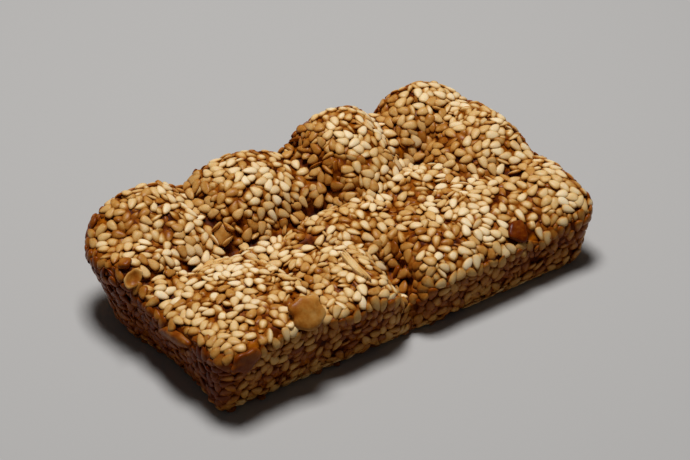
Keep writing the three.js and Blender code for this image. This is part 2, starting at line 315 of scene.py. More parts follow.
def mesh_object(name, points, faces, material, values=None, uv=None):
    """A smooth mesh piece from arrays in mm, with one number per point for each name in values."""
    mesh = bpy.data.meshes.new(name)
    sides = faces.shape[1]
    mesh.vertices.add(len(points))
    mesh.vertices.foreach_set("co", (points * MM).astype(np.float32).ravel())
    mesh.loops.add(faces.size)
    mesh.loops.foreach_set("vertex_index", faces.astype(np.int32).ravel())
    mesh.polygons.add(len(faces))
    mesh.polygons.foreach_set("loop_start", np.arange(0, faces.size, sides, dtype=np.int32))
    mesh.polygons.foreach_set("use_smooth", np.ones(len(faces), dtype=bool))
    for key, numbers in (values or {}).items():
        layer = mesh.attributes.new(key, "FLOAT", "POINT")
        layer.data.foreach_set("value", numbers.astype(np.float32))
    if uv is not None:
        layer = mesh.uv_layers.new(name="OFBake")
        layer.data.foreach_set("uv", uv.astype(np.float32).ravel())
    mesh.update(calc_edges=True)
    mesh.validate()
    mesh.materials.append(material)
    piece = bpy.data.objects.new(name, mesh)
    bpy.context.scene.collection.objects.link(piece)
    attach(piece, "root")
    return piece


# ---------------------------------------------------------------------------
# Where the seeds lie: packed against the outer surface, as in a mould, with more behind them.

SEED_LENGTH = 3.15
SEED_WIDTH = 2.0
SEED_THICKNESS = 0.95
SEED_VARIETY = (0.06, 0.07, 0.1)
SEED_LIMITS = (0.8, 1.2)
SEEDS = 6500

# A seed meets its neighbours as balls: each one's place along and across it, and its radius.
BALLS = np.array(
    [
        (1.1, 0, 0.36),
        (0.42, 0.3, 0.42),
        (0.42, -0.3, 0.42),
        (-0.42, 0.44, 0.45),
        (-0.42, -0.44, 0.45),
        (-1.08, 0, 0.44),
    ]
)

# The seeds start between these depths. In each step they are pushed and turned by these shares of
# their overlaps, no further than the limits, and they drift outwards, less as the steps go on.
# Balls further apart than BALL_REACH times the largest radius are passed over.
PACK_STEPS = 60
START_DEPTHS = (0.4, 2.0)
PACK_PUSH, LARGEST_PUSH = 0.2, 0.4
PACK_TURN, LARGEST_TURN = 0.2, 0.3
PACK_DRIFT = 0.05
BALL_REACH = 2.2

# How far inside the outer surface the seeds may stay. Those underneath all meet it.
UNEVEN = 0.2
UNDER_NORMAL = -0.7

# How far seeds lean at first, in degrees, and how strongly they settle flat, in calm parts and in
# jumbled ones, where they also turn less.
CALM_TILT, JUMBLED_TILT = 18, 70
CALM_FLATTEN, JUMBLED_FLATTEN = 0.03, 0.0
JUMBLED_STIFFNESS = 0.6

# How jumbled the seeds are: everywhere, in patches, on the low ridge in the middle, whose place and
# reach follow, and in the creases. Patches have a size in mm and a seed for their noise.
JUMBLE = 0.35
PATCH_JUMBLE, JUMBLE_PATCHES = 0.4, (13, 4)
RIDGE_JUMBLE = 0.55
RIDGE_PLACE, RIDGE_REACH = (13, -4), (25, 12)
CREASE_JUMBLE = 0.6

# Seeds whose middles lie less deep than OUTER_DEPTH are the outer ones. Those deeper than DEEPEST
# are left out.
OUTER_DEPTH = 0.85
DEEPEST = 1.7


class Seeds:
    """Seeds in the slab: middles, face normals, long axes and scales, and the surface over them."""

    def __init__(self, middles, normals, axes, scales):
        self.middles = middles
        self.normals = normals
        self.axes = axes
        self.scales = scales
        self.up = normals
        self.depth = np.zeros(len(middles))

    def part(self, chosen):
        """Some of the seeds."""
        parts = (self.middles, self.normals, self.axes, self.scales)
        some = Seeds(*(values[chosen] for values in parts))
        some.up = self.up[chosen]
        some.depth = self.depth[chosen]
        return some

    def straighten(self):
        """Makes the axes square to each other and of length one."""
        self.normals = unit(self.normals)
        self.axes = across_normal(self.axes, self.normals)

    def measure(self, tree):
        """Finds the surface's normal over each seed, and how deep the seed's middle lies."""
        hits = [tree.find_nearest(p)[:2] for p in self.middles.tolist()]
        nearest = np.array([h[0] for h in hits])
        self.up = np.array([h[1] for h in hits])
        self.depth = ((nearest - self.middles) * self.up).sum(axis=1)

    def balls(self):
        """Offsets of each seed's balls from its middle, and their radii."""
        side = np.cross(self.normals, self.axes)
        scale = self.scales.mean(axis=1)[:, None]
        along, across, radius = BALLS.T
        offsets = self.axes[:, None] * along[None, :, None]
        offsets = offsets + side[:, None] * across[None, :, None]
        return offsets * scale[..., None], radius[None] * scale

    def reach(self):
        """How deep the highest point of each seed lies."""
        offsets, radii = self.balls()
        return (self.depth[:, None] - (offsets * self.up[:, None]).sum(axis=2) - radii).min(axis=1)


def random_points(points, quads, count):
    """Points spread evenly by area over a quad mesh."""
    corners = points[quads]
    facing = np.cross(corners[:, 2] - corners[:, 0], corners[:, 3] - corners[:, 1])
    area = np.linalg.norm(facing, axis=1)
    chosen = rng.choice(len(quads), count, p=area / area.sum())
    a, b = rng.random((2, count, 1))
    c = corners[chosen]
    return (c[:, 0] * (1 - a) + c[:, 1] * a) * (1 - b) + (c[:, 3] * (1 - a) + c[:, 2] * a) * b


def jumble_at(points, normals):
    """How jumbled the seeds lie, from 0 to 1: most in the creases and on the low ridge."""
    (x, y), (reach_x, reach_y) = RIDGE_PLACE, RIDGE_REACH
    ridge = np.exp(-(((points[:, 0] - x) / reach_x) ** 2) - ((points[:, 1] - y) / reach_y) ** 2)
    top = np.clip(normals[:, 2], 0, 1)
    noise = JUMBLE + PATCH_JUMBLE * soft_noise(points, *JUMBLE_PATCHES)
    formed = RIDGE_JUMBLE * ridge + CREASE_JUMBLE * creases_at(points, normals)
    return np.clip(noise + formed * top - underneath(normals), 0, 1)


def scattered_seeds(tree, points, quads):
    """Seeds thrown at random into the slab's outermost layer, lying more or less flat."""
    middles = random_points(points, quads, SEEDS)
    scales = np.clip(rng.normal(1, SEED_VARIETY, (SEEDS, 3)), *SEED_LIMITS)
    seeds = Seeds(middles, np.zeros((SEEDS, 3)), rng.normal(size=(SEEDS, 3)), scales)
    seeds.measure(tree)
    seeds.middles = middles - seeds.up * rng.uniform(*START_DEPTHS, (SEEDS, 1))
    lean = across_normal(rng.normal(size=(SEEDS, 3)), seeds.up)
    jumble = jumble_at(seeds.middles, seeds.up)[:, None]
    tilt = np.radians(CALM_TILT + (JUMBLED_TILT - CALM_TILT) * jumble)
    angle = tilt * rng.normal(size=(SEEDS, 1))
    seeds.normals = seeds.up * np.cos(angle) + lean * np.sin(angle)
    seeds.straighten()
    return seeds


def pack_seeds(tree, seeds):
    """Pushes overlapping seeds apart in space, and all of them out against the surface."""
    owner = np.repeat(np.arange(SEEDS), len(BALLS))
    slack = np.abs(rng.normal(0, UNEVEN, (SEEDS, 1))) * (seeds.up[:, 2:] > UNDER_NORMAL)
    jumble = jumble_at(seeds.middles, seeds.up)[:, None]
    flatten = CALM_FLATTEN + (JUMBLED_FLATTEN - CALM_FLATTEN) * jumble
    for step in range(PACK_STEPS):
        offsets, radii = seeds.balls()
        centres = (seeds.middles[:, None] + offsets).reshape(-1, 3)
        i, j = close_pairs(centres, centres, BALL_REACH * BALLS[:, 2].max())
        other = owner[i] != owner[j]
        i, j = i[other], j[other]
        apart = centres[i] - centres[j]
        gap = np.linalg.norm(apart, axis=1)
        overlap = np.maximum(radii.ravel()[i] + radii.ravel()[j] - gap, 0)
        push = np.zeros_like(centres)
        np.add.at(push, i, apart / np.maximum(gap, 1e-6)[:, None] * overlap[:, None] / 2)
        push = push.reshape(offsets.shape)
        depth = seeds.depth[:, None] - (offsets * seeds.up[:, None]).sum(axis=2)
        push -= seeds.up[:, None] * np.maximum(radii + slack - depth, 0)[..., None]
        drift = PACK_DRIFT * (1 - step / PACK_STEPS) * seeds.up
        pushed = np.clip(PACK_PUSH * push.sum(axis=1), -LARGEST_PUSH, LARGEST_PUSH)
        seeds.middles = seeds.middles + pushed + drift
        turn = PACK_TURN * np.cross(offsets, push).sum(axis=1)
        turn = np.clip(turn, -LARGEST_TURN, LARGEST_TURN) * (1 - JUMBLED_STIFFNESS * jumble)
        facing = np.sign((seeds.normals * seeds.up).sum(axis=1, keepdims=True))
        settled = flatten * (facing * seeds.up - seeds.normals)
        seeds.axes = seeds.axes + np.cross(turn, seeds.axes)
        seeds.normals = seeds.normals + np.cross(turn, seeds.normals) + settled
        seeds.straighten()
        seeds.measure(tree)
    return seeds


# ---------------------------------------------------------------------------
# The shape of a seed.

# How much it narrows towards its tip, its bend and its dents. Its outline is fuller behind than at
# the tip, its faces are flatter than an ellipse's, and dents show less in its thickness.
TAPERS = (0.26, 0.46)
BEND = 0.12
DENTS = 3
DENT_DEPTH = 0.03
OUTLINE_POWER, TIP_POWER = 0.95, 0.27
FACE_POWER = 0.85
FACE_DENT = 0.08

# Seeds that would reach lower are cut flat at this height.
LOWEST_POINT = 0.02

# Points round a seed and rings along it, and the margin of its cell on the map.
SEED_RINGS = (12, 7)
DEEP_SEED_RINGS = (9, 6)
MAP_MARGIN = 0.06


def seed_grid(ring_points, rings):
    """A seed's angles along and around it, its triangles, and their corners' places on the map."""
    along = np.linspace(0, math.pi, rings + 1)[1:-1]
    around = np.linspace(0, 2 * math.pi, ring_points, endpoint=False)
    angle_along, angle_around = (a.ravel() for a in np.meshgrid(along, around, indexing="ij"))
    angle_along = np.concatenate([[0], angle_along, [math.pi]])
    angle_around = np.concatenate([[0], angle_around, [0]])

    def point(ring, turn):
        inner = 1 + (ring - 1) * ring_points + turn % ring_points
        return np.where(ring == 0, 0, np.where(ring == rings, len(angle_along) - 1, inner))

    i, j = (a.ravel() for a in np.meshgrid(np.arange(rings), np.arange(ring_points), indexing="ij"))
    triangles, maps = [], []
    first_half, second_half = ((0, 0), (0, 1), (1, 1)), ((0, 0), (1, 1), (1, 0))
    for chosen, half in ((i > 0, first_half), (i < rings - 1, second_half)):
        corners = [(i[chosen] + di, j[chosen] + dj) for di, dj in half]
        flat = [np.stack([b / ring_points, a / rings], axis=1) for a, b in corners]
        triangles.append(np.stack([point(a, b) for a, b in corners], axis=1))
        maps.append(np.stack(flat, axis=1))
    return angle_along, angle_around, np.concatenate(triangles), np.concatenate(maps)


def seed_points(seeds, sizes, angle_along, angle_around):
    """Points of every seed: a flat drop, blunt behind and pointed at its tip, dented at random."""
    count = len(seeds.middles)
    taper = rng.uniform(*TAPERS, (count, 1))
    bend = rng.normal(0, BEND, (count, 1))
    dents = rng.normal(0, DENT_DEPTH, (count, DENTS))
    phase = rng.uniform(0, 2 * math.pi, (count, DENTS))
    x = np.cos(angle_along)[None, :]
    spread = np.sin(angle_along)[None, :] ** (OUTLINE_POWER + TIP_POWER * x) * (1 - taper * x)
    lumps = 1 + sum(
        dents[:, k, None] * np.sin((k + 2) * angle_around[None, :] + phase[:, k, None] + 2 * k * x)
        for k in range(DENTS)
    )
    y = spread * np.cos(angle_around)[None, :] * lumps
    lift = np.sin(angle_around)[None, :]
    thick = np.sign(lift) * np.abs(lift) ** FACE_POWER
    z = spread * thick * (1 - FACE_DENT + FACE_DENT * lumps) + bend * x**2
    half = sizes[:, None, :] / 2
    side = np.cross(seeds.normals, seeds.axes)
    return (
        seeds.middles[:, None]
        + (x + 0 * y)[..., None] * half[..., :1] * seeds.axes[:, None]
        + y[..., None] * half[..., 1:2] * side[:, None]
        + z[..., None] * half[..., 2:] * seeds.normals[:, None]
    )


def seed_piece(name, seeds, looks, material, rings=SEED_RINGS):
    """One piece of many seeds, each with its tone and glaze, which also carry painted shade, and
    its own cell of the map.
    """
    angle_along, angle_around, triangles, corners = seed_grid(*rings)
    count = len(seeds.middles)
    sizes = seeds.scales * (SEED_LENGTH, SEED_WIDTH, SEED_THICKNESS)
    points = seed_points(seeds, sizes, angle_along, angle_around)
    points[..., 2] = np.maximum(points[..., 2], LOWEST_POINT)
    offset = points - seeds.middles[:, None]
    depth = seeds.depth[:, None] - (offset * seeds.up[:, None]).sum(axis=2)
    level = caramel_level(seeds.middles, seeds.up)[:, None]
    sunk = np.clip((depth - level + COAT_ABOVE) / COAT_FADE, 0, 1)
    rim = (1 - np.abs(np.sin(angle_around)) * np.sin(angle_along)) ** 2
    first_points = np.arange(count)[:, None, None] * len(angle_along)
    faces = (first_points + triangles[None]).reshape(-1, 3)
    across = math.ceil(math.sqrt(count))
    cell = np.stack(np.divmod(np.arange(count), across), axis=1)[:, None, None, :]
    uv = (cell + MAP_MARGIN + (1 - 2 * MAP_MARGIN) * corners[None]) / across
    values = {
        "tone": np.repeat(looks[0], len(angle_along)),
        "glaze_and_shade": np.maximum(looks[1][:, None] + RIM_COAT * rim[None], sunk).ravel(),
        "tip": np.tile(np.cos(angle_along), count),
    }
    return mesh_object(name, points.reshape(-1, 3), faces, material, values, uv.reshape(-1, 2))


# ---------------------------------------------------------------------------
# How high the caramel stands between the seeds.

# Its depth under the seeds' outer surface, less on the sides and below, and more in the creases.
CARAMEL_DEPTH = 0.95
CARAMEL_UNEVEN, LEVEL_PATCHES = 0.2, (9, 8)
SIDE_FLOOD = 0.2
CREASE_DRAIN = 0.6

# How high above the caramel the seeds are still coated, over what height the coat thins out, and
# how thickly it has crept along their rims.
COAT_ABOVE = 0.7
COAT_FADE = 0.4
RIM_COAT = 0.55

# How upright normals are where the top and the underside begin, how deep a crease counts in full,
# and how upright normals are where creases count.
TOP_NORMAL = 0.75
UNDERSIDE_BEGINS, UNDERSIDE_BLEND = 0.5, 0.4
FULL_CREASE = 2.5
CREASE_NORMAL = 0.2


def sides(normals):
    """1 on the slab's upright sides, 0 on its top and under it."""
    return np.clip(1 - np.abs(normals[:, 2]) / TOP_NORMAL, 0, 1)


def underneath(normals):
    """1 on the slab's underside."""
    return np.clip((-normals[:, 2] - UNDERSIDE_BEGINS) / UNDERSIDE_BLEND, 0, 1)


def caramel_level(points, normals):
    """Depth of the caramel under the seeds' outer surface."""
    depth = CARAMEL_DEPTH - CARAMEL_UNEVEN * soft_noise(points, *LEVEL_PATCHES)
    depth = depth + CREASE_DRAIN * creases_at(points, normals)
    return depth - SIDE_FLOOD * np.maximum(sides(normals), underneath(normals))


def creases_at(points, normals):
    """How deep in a crease of the top the points lie, from 0 to 1."""
    depth = crease_depth(points[:, 0] + MIDDLE[0], points[:, 1] + MIDDLE[1])
    return np.clip(depth / FULL_CREASE, 0, 1) * (normals[:, 2] > CREASE_NORMAL)


# ---------------------------------------------------------------------------
# Materials.

# Noise lies mostly within this span, and fine relief has less detail.
NOISE_SPAN = (0.3, 0.7)
NOISE_ROUGHNESS = 0.55
NOISE_DETAIL = 3.0
RELIEF_DETAIL = 2.0


class Nodes:
    """A material's node tree, with short calls for the nodes that are used here."""

    def __init__(self, name):
        self.material = bpy.data.materials.new(name)
        self.material.use_nodes = True
        self.tree = self.material.node_tree
        self.shader = self.tree.nodes["Principled BSDF"]

    def set(self, name, value):
        """Sets a value of the shader's own."""
        self.shader.inputs[name].default_value = value

    def link(self, source, name):
        """Drives a value of the shader."""
        self.tree.links.new(source, self.shader.inputs[name])

    def attribute(self, name):
        """The mesh's number of that name at each point."""
        node = self.tree.nodes.new("ShaderNodeAttribute")
        node.attribute_name = name
        return node.outputs["Fac"]

    def noise(self, size_mm, detail=NOISE_DETAIL):
        """Noise from 0 to 1 with blotches about size_mm across."""
        where = self.tree.nodes.new("ShaderNodeTexCoord")
        node = self.tree.nodes.new("ShaderNodeTexNoise")
        node.inputs["Scale"].default_value = 1 / (size_mm * MM)
        node.inputs["Detail"].default_value = detail
        node.inputs["Roughness"].default_value = NOISE_ROUGHNESS
        self.tree.links.new(where.outputs["Object"], node.inputs["Vector"])
        return node.outputs["Fac"]

    def blotches(self, size_mm, to_low, to_high):
        """Noise carried to a range."""
        return self.range(self.noise(size_mm), *NOISE_SPAN, to_low, to_high)

    def math(self, operation, a, b, clamp=False):
        """A sum, product or the like of two numbers or sockets."""
        node = self.tree.nodes.new("ShaderNodeMath")
        node.operation = operation
        node.use_clamp = clamp
        for socket, value in zip(node.inputs, (a, b)):
            if isinstance(value, (int, float)):
                socket.default_value = value
            else:
                self.tree.links.new(value, socket)
        return node.outputs[0]

    def range(self, value, low, high, to_low, to_high):
        """The value carried from one range to another, and held within it."""
        node = self.tree.nodes.new("ShaderNodeMapRange")
        self.tree.links.new(value, node.inputs["Value"])
        limits = {"From Min": low, "From Max": high, "To Min": to_low, "To Max": to_high}
        for name, number in limits.items():
            node.inputs[name].default_value = number
        return node.outputs[0]

    def ramp(self, value, stops):
        """A colour for the value, from stops of places and colours."""
        node = self.tree.nodes.new("ShaderNodeValToRGB")
        elements = node.color_ramp.elements
        while len(elements) < len(stops):
            elements.new(0.5)
        for element, (position, colour) in zip(elements, stops):
            element.position = position
            element.color = (*colour, 1)
        self.tree.links.new(value, node.inputs["Fac"])
        return node.outputs["Color"]

    def mix(self, factor, a, b, blend="MIX"):
        """Two colours mixed or blended."""
        node = self.tree.nodes.new("ShaderNodeMix")
        node.data_type = "RGBA"
        node.blend_type = blend
        colours = [s for s in node.inputs if s.name in "AB" and s.type == "RGBA"]
        for socket, value in zip((node.inputs["Factor"], *colours), (factor, a, b)):
            if isinstance(value, (int, float)):
                socket.default_value = value
            elif isinstance(value, tuple):
                socket.default_value = (*value, 1)
            else:
                self.tree.links.new(value, socket)
        return next(s for s in node.outputs if s.type == "RGBA")

    def relief(self, size_mm, strength, height_mm):
        """Fine bumps about size_mm across."""
        node = self.tree.nodes.new("ShaderNodeBump")
        node.inputs["Strength"].default_value = strength
        node.inputs["Distance"].default_value = height_mm * MM
        self.tree.links.new(self.noise(size_mm, RELIEF_DETAIL), node.inputs["Height"])
        self.tree.links.new(node.outputs["Normal"], self.shader.inputs["Normal"])


# What a thick coat of caramel leaves of the colour under it, and how a thinner one fades to none.
AMBER = (0.3, 0.1, 0.011)
COATS = (0.0, 0.2, 0.4, 0.6, 0.8, 1.0)

# The seeds' own colours, from pale to dark, and the colour of their tips.
SEED_TONES = (
    (0.0, (0.85, 0.68, 0.44)),
    (0.35, (0.8, 0.59, 0.31)),
    (0.7, (0.66, 0.39, 0.13)),
    (1.0, (0.36, 0.14, 0.03)),
)
TIP_COLOUR = (0.42, 0.2, 0.05)

# How far along a seed its tip begins and how much it browns, the mottling of its tone, the smears
# in its coat, and its relief: sizes in mm, then how much.
TIP_BEGINS, TIP_SHARE = 0.6, 0.5
MOTTLE_SIZE, MOTTLE = 0.9, 0.1
SMEAR_SIZE, SMEARS = 1.4, (0.7, 1.3)
SEED_RELIEF = (0.35, 0.3, 0.08)

# The seeds' roughness bare and coated, their gloss, and the light that goes through them.
BARE_ROUGHNESS, COATED_ROUGHNESS = 0.36, 0.27
SEED_GLOSS = 0.1
SEED_SUBSURFACE = 0.12
SUBSURFACE_RADIUS = (1.0, 0.5, 0.2)
SUBSURFACE_DEPTH = 0.6

# The caramel's colours, from thick to thin.
CARAMEL_TONES = (
    (0.35, (0.035, 0.0045, 0.0003)),
    (0.5, (0.11, 0.018, 0.0005)),
    (0.7, (0.38, 0.1, 0.003)),
)
CARAMEL_TONE_SIZE = 2.5
CARAMEL_ROUGHNESS_SIZE, CARAMEL_ROUGHNESS = 1.5, (0.25, 0.45)
CARAMEL_GLOSS = 0.02
CARAMEL_RELIEF = (0.8, 0.4, 0.15)


def coated(nodes, colour, coat):
    """The colour seen through a coat of caramel, from 0, bare, to 1, thick."""
    stops = tuple((share, tuple(channel**share for channel in AMBER)) for share in COATS)
    return nodes.mix(1.0, colour, nodes.ramp(coat, stops), "MULTIPLY")


def seed_material():
    """Toasted seed skin: its tone, a browner tip, and caramel where it is sunk or glazed, with
    painted shade darkening the tone and coat where the seeds' numbers carry it.
    """
    nodes = Nodes("seed_skin")
    mottle = nodes.blotches(MOTTLE_SIZE, -MOTTLE, MOTTLE)
    # The tone number also holds painted shade, darker on the sides and facing left.
    colour = nodes.ramp(nodes.math("ADD", nodes.attribute("tone"), mottle, True), SEED_TONES)
    tip = nodes.range(nodes.attribute("tip"), TIP_BEGINS, 1.0, 0.0, TIP_SHARE)
    colour = nodes.mix(tip, colour, TIP_COLOUR)
    smears = nodes.blotches(SMEAR_SIZE, *SMEARS)
    # The coat also holds painted shade, put into the glaze number on the sides, facing left and in
    # the creases.
    coat = nodes.math("MULTIPLY", nodes.attribute("glaze_and_shade"), smears, True)
    nodes.link(coated(nodes, colour, coat), "Base Color")
    nodes.link(nodes.range(coat, 0.0, 1.0, BARE_ROUGHNESS, COATED_ROUGHNESS), "Roughness")
    nodes.set("Specular IOR Level", SEED_GLOSS)
    nodes.set("Subsurface Weight", SEED_SUBSURFACE)
    nodes.set("Subsurface Radius", SUBSURFACE_RADIUS)
    nodes.set("Subsurface Scale", SUBSURFACE_DEPTH * MM)
    nodes.relief(*SEED_RELIEF)
    return nodes.material


def caramel_material():
    """Hard caramel: dark red-brown, glossy, paler where it is thin."""
    nodes = Nodes("caramel")
    nodes.link(nodes.ramp(nodes.noise(CARAMEL_TONE_SIZE), CARAMEL_TONES), "Base Color")
    nodes.link(nodes.blotches(CARAMEL_ROUGHNESS_SIZE, *CARAMEL_ROUGHNESS), "Roughness")
    nodes.set("Specular IOR Level", CARAMEL_GLOSS)
    nodes.relief(*CARAMEL_RELIEF)
    return nodes.material


# ---------------------------------------------------------------------------
# Flakes of nut and caramel. Each lies on a face at [along, up], turned and lifted in degrees, and
# sunk in mm. Its outline has lobes of a height and narrows by taper towards its +x end. Its face is
# domed, or dished where dome is negative. Its tone and coat are as a seed's, and the coat gets
# thinner by fade towards the +x end.

FLAKES = (
    dict(
        name="round_flake", face="top", at=(-0.55, -0.9), size=(7.4, 7.4, 1.6),
        sink=-0.4, turn=151, lift=-28, lobes=6, lobe_height=0.045, taper=0, dome=0.4,
        tone=0.6, coat=0.46, fade=-0.28, strands=1,
    ),
    dict(
        name="square_flake", face="top", at=(-0.44, 0.315), size=(4.2, 3.6, 1.3),
        sink=0.2, turn=54, lift=-15, lobes=4, lobe_height=0.13, taper=0, dome=0,
        tone=0.6, coat=0.4, fade=0.0, strands=1,
    ),
    dict(
        name="dark_flake", face="front", at=(-0.885, 0.715), size=(7, 4.4, 1.2),
        sink=0.4, turn=12, lift=0, lobes=3, lobe_height=0.08, taper=-0.1, dome=0.15,
        tone=1.0, coat=0.55, fade=0.1, strands=1,
    ),
    dict(
        name="amber_flake", face="top", at=(0.57, -0.88), size=(5.2, 4.4, 1.2),
        sink=0.3, turn=45, lift=0, lobes=1, lobe_height=0, taper=0.4, dome=0.4,
        tone=1.0, coat=0.8, fade=0.1, strands=1,
    ),
    dict(
        name="orange_flake", face="top", at=(-0.93, 0.29), size=(2.8, 2.6, 1.3),
        sink=0.2, turn=0, lift=0, lobes=4, lobe_height=0.1, taper=0, dome=0.1,
        tone=0.6, coat=0.75, fade=0, strands=1,
    ),
    dict(
        name="curved_flake", face="top", at=(-0.95, 0.16), size=(4.4, 3.4, 1.3),
        sink=0.2, turn=20, lift=0, lobes=2, lobe_height=0.08, taper=0.2, dome=-1.1,
        tone=0.2, coat=0.3, fade=0.1, strands=1,
    ),
    dict(
        name="ledge_flake", face="left", at=(0.365, 0.55), size=(3.2, 11, 1.6),
        sink=0.5, turn=22, lift=0, lobes=3, lobe_height=0.05, taper=0.1, dome=0.5,
        tone=0.9, coat=0.6, fade=0, strands=1,
    ),
    dict(
        name="sliver_flake", face="top", at=(-0.17, -0.6), size=(11, 1.6, 1.3),
        sink=0.3, turn=87, lift=0, lobes=2, lobe_height=0, taper=0.1, dome=0,
        tone=0.25, coat=0.2, fade=0, strands=3,
    ),
)
SQUARE_FLAKE = next(flake for flake in FLAKES if flake["name"] == "square_flake")

# A flake's section from the middle of its face over its edge to the middle of its back: [out, up].
FLAKE_SECTION = np.array(
    [
        (0, 0.46),
        (0.3, 0.48),
        (0.6, 0.5),
        (0.85, 0.46),
        (0.97, 0.3),
        (1, 0),
        (0.97, -0.3),
        (0.8, -0.5),
        (0.4, -0.5),
        (0, -0.5),
    ]
)
FLAKE_POINTS = 40

# The waves in a flake's outline, how high they are, and the range of their phases.
OUTLINE_WAVES = (2, 3, 4, 5, 7)
OUTLINE_NOISE = 0.03
OUTLINE_PHASE = 6

# How strands bow, how much shorter each is than the one before, how they are staggered, and the
# power by which they are narrower than the whole.
STRAND_BOW = 0.12
STRAND_SHORTER = 0.12
STRAND_STAGGER = 0.1
STRAND_POWER = 0.7

# The lumps of a flake, the patches of its coat, and the caramel pooled in a dished one.
FLAKE_LUMPS, LUMP_SIZE = 0.1, 2.5
COAT_NOISE, COAT_PATCHES = 0.15, (4, 3)
POOLED = 0.6

# Seeds keep this far off a flake, and further off the square one, unless they lie deep under it. In
# the deepest creases a share of them is left out.
FLAKE_GAP = 0.35
SQUARE_GAP = 0.9
UNDER_FLAKE = 1
CREASE_BARE = 0.2


def flake_frame(flake):
    """Middle of a flake and its turn: along the surface, turned about the normal, then lifted."""
    point, normal = surface_at(flake["face"], *flake["at"])
    stand_up = Vector((0, 0, 1)).rotation_difference(Vector(normal))
    spin = Quaternion((0, 0, 1), math.radians(flake["turn"]))
    lean = Quaternion((1, 0, 0), math.radians(flake["lift"]))
    return point - normal * flake["sink"], np.array((stand_up @ spin @ lean).to_matrix())


def chip_points(flake, chip):
    """Points of one chip, one unit across: its outline drawn in to its middle on both faces."""
    angle = np.linspace(0, 2 * math.pi, FLAKE_POINTS, endpoint=False)
    outline = 1 + sum(
        chip.normal(0, OUTLINE_NOISE) * np.cos(k * angle + chip.uniform(0, OUTLINE_PHASE))
        for k in OUTLINE_WAVES
    )
    outline = outline + flake["lobe_height"] * np.cos(flake["lobes"] * angle)
    across = np.sin(angle) * (1 - flake["taper"] * np.cos(angle))
    rings = [np.array([(0, 0, FLAKE_SECTION[0, 1])])]
    for out, up in FLAKE_SECTION[1:-1]:
        ring = out * outline
        ring = np.stack([ring * np.cos(angle), ring * across, up + 0 * angle], axis=1)
        rings.append(ring * (0.5, 0.5, 1))
    rings.append(np.array([(0, 0, FLAKE_SECTION[-1, 1])]))
    points = np.concatenate(rings)
    points[:, 2] += flake["dome"] * (0.5 - 2 * (points[:, :2] ** 2).sum(axis=1))
    return points


def flake_piece(flake, material):
    """One chip, or a few thin strands side by side, with a soft, uneven outline."""
    chip = np.random.default_rng(sum(map(ord, flake["name"])))
    triangles = seed_grid(FLAKE_POINTS, len(FLAKE_SECTION) - 1)[2][:, ::-1]
    length, width, thickness = flake["size"]
    strands = flake["strands"]
    points, faces = [], []
    for k in range(strands):
        spot = chip_points(flake, chip)
        shift = (k - (strands - 1) / 2) / strands
        bow = (strands - 1) * STRAND_BOW * (1 - 4 * spot[:, 0] ** 2)
        spot[:, 1] = spot[:, 1] / strands**STRAND_POWER + shift + bow
        spot[:, 0] = spot[:, 0] * (1 - STRAND_SHORTER * k) + STRAND_STAGGER * shift
        faces.append(triangles + sum(map(len, points)))
        points.append(spot * (length, width, thickness))
    points = np.concatenate(points)
    points[:, 2] += FLAKE_LUMPS * soft_noise(points, LUMP_SIZE, len(flake["name"]))
    coat = flake["coat"] - flake["fade"] * 2 * points[:, 0] / length
    coat = coat + COAT_NOISE * soft_noise(points, *COAT_PATCHES)
    inwards = 1 - 4 * ((points[:, :2] / (length, width)) ** 2).sum(axis=1)
    coat += POOLED * max(-flake["dome"], 0) * inwards
    values = {"tone": np.full(len(points), flake["tone"]), "glaze_and_shade": np.clip(coat, 0, 1)}
    middle, turned = flake_frame(flake)
    points = middle + points @ turned.T
    return mesh_object(flake["name"], points, np.concatenate(faces), material, values)


def clear_of_flakes(seeds):
    """The seeds that don't lie where a flake is, and not all of those in the deepest creases."""
    bare = CREASE_BARE * creases_at(seeds.middles, seeds.up) ** 2
    clear = rng.random(len(seeds.middles)) > bare
    for flake in FLAKES:
        middle, turned = flake_frame(flake)
        x, y, z = ((seeds.middles - middle) @ turned).T
        gap = SQUARE_GAP if flake is SQUARE_FLAKE else FLAKE_GAP
        half_x, half_y = flake["size"][0] / 2 + gap, flake["size"][1] / 2 + gap
        clear &= ((x / half_x) ** 2 + (y / half_y) ** 2 > 1) | (z < -UNDER_FLAKE)
    return seeds.part(clear)


# Seeds stuck on edge along the sides of the square flake: their place round it in degrees, how far
# out and how high their middles are, and how they lean over it.
EDGE_TURNS = np.radians([40, 128, 222, 318])
EDGE_OUT = 2.0
EDGE_HEIGHT = 0.35
EDGE_LEAN = np.radians([20, 5, -15, 10])


def edge_seeds(tree):
    """Seeds that stand on edge round the square flake."""
    middle, turned = flake_frame(SQUARE_FLAKE)
    out = np.stack([np.cos(EDGE_TURNS), np.sin(EDGE_TURNS), 0 * EDGE_TURNS], axis=1)
    along = np.cross((0, 0, 1), out)
    leaning = out * np.cos(EDGE_LEAN)[:, None]
    leaning = leaning + np.array((0, 0, 1)) * np.sin(EDGE_LEAN)[:, None]
    middles = middle + (out * EDGE_OUT + (0, 0, EDGE_HEIGHT)) @ turned.T
    seeds = Seeds(middles, leaning @ turned.T, along @ turned.T, np.ones((len(out), 3)))
    seeds.measure(tree)
    return seeds


# ---------------------------------------------------------------------------
# Building the slab.

# The grids' cells in mm: of the surface that seeds are packed against, and of the caramel.
PACKING_CELL = 1.0
CARAMEL_CELL = 0.42

# How high the caramel climbs at a seed, how soon that fades, and how near the seeds are that count.
CLIMB_HEIGHT = 0.35
CLIMB_REACH = 0.25
CLIMB_SEARCH = 1.4
LOWEST_CARAMEL = 0.05

# The seeds' tone and glaze: of most, their spread from seed to seed, and their spread in patches.
TONE, TONE_SPREAD, TONE_NOISE, TONE_PATCHES = 0.08, 0.1, 0.06, (18, 5)
GLAZE, GLAZE_SPREAD, GLAZE_NOISE, GLAZE_PATCHES = 0.03, 0.08, 0.05, (11, 6)

# Some seeds are browner and some are stuck in more caramel: which share, and how much.
BROWN_SHARE, BROWN_TONE = 0.08, 0.35
STUCK_SHARE, STUCK_GLAZE = 0.08, 0.35
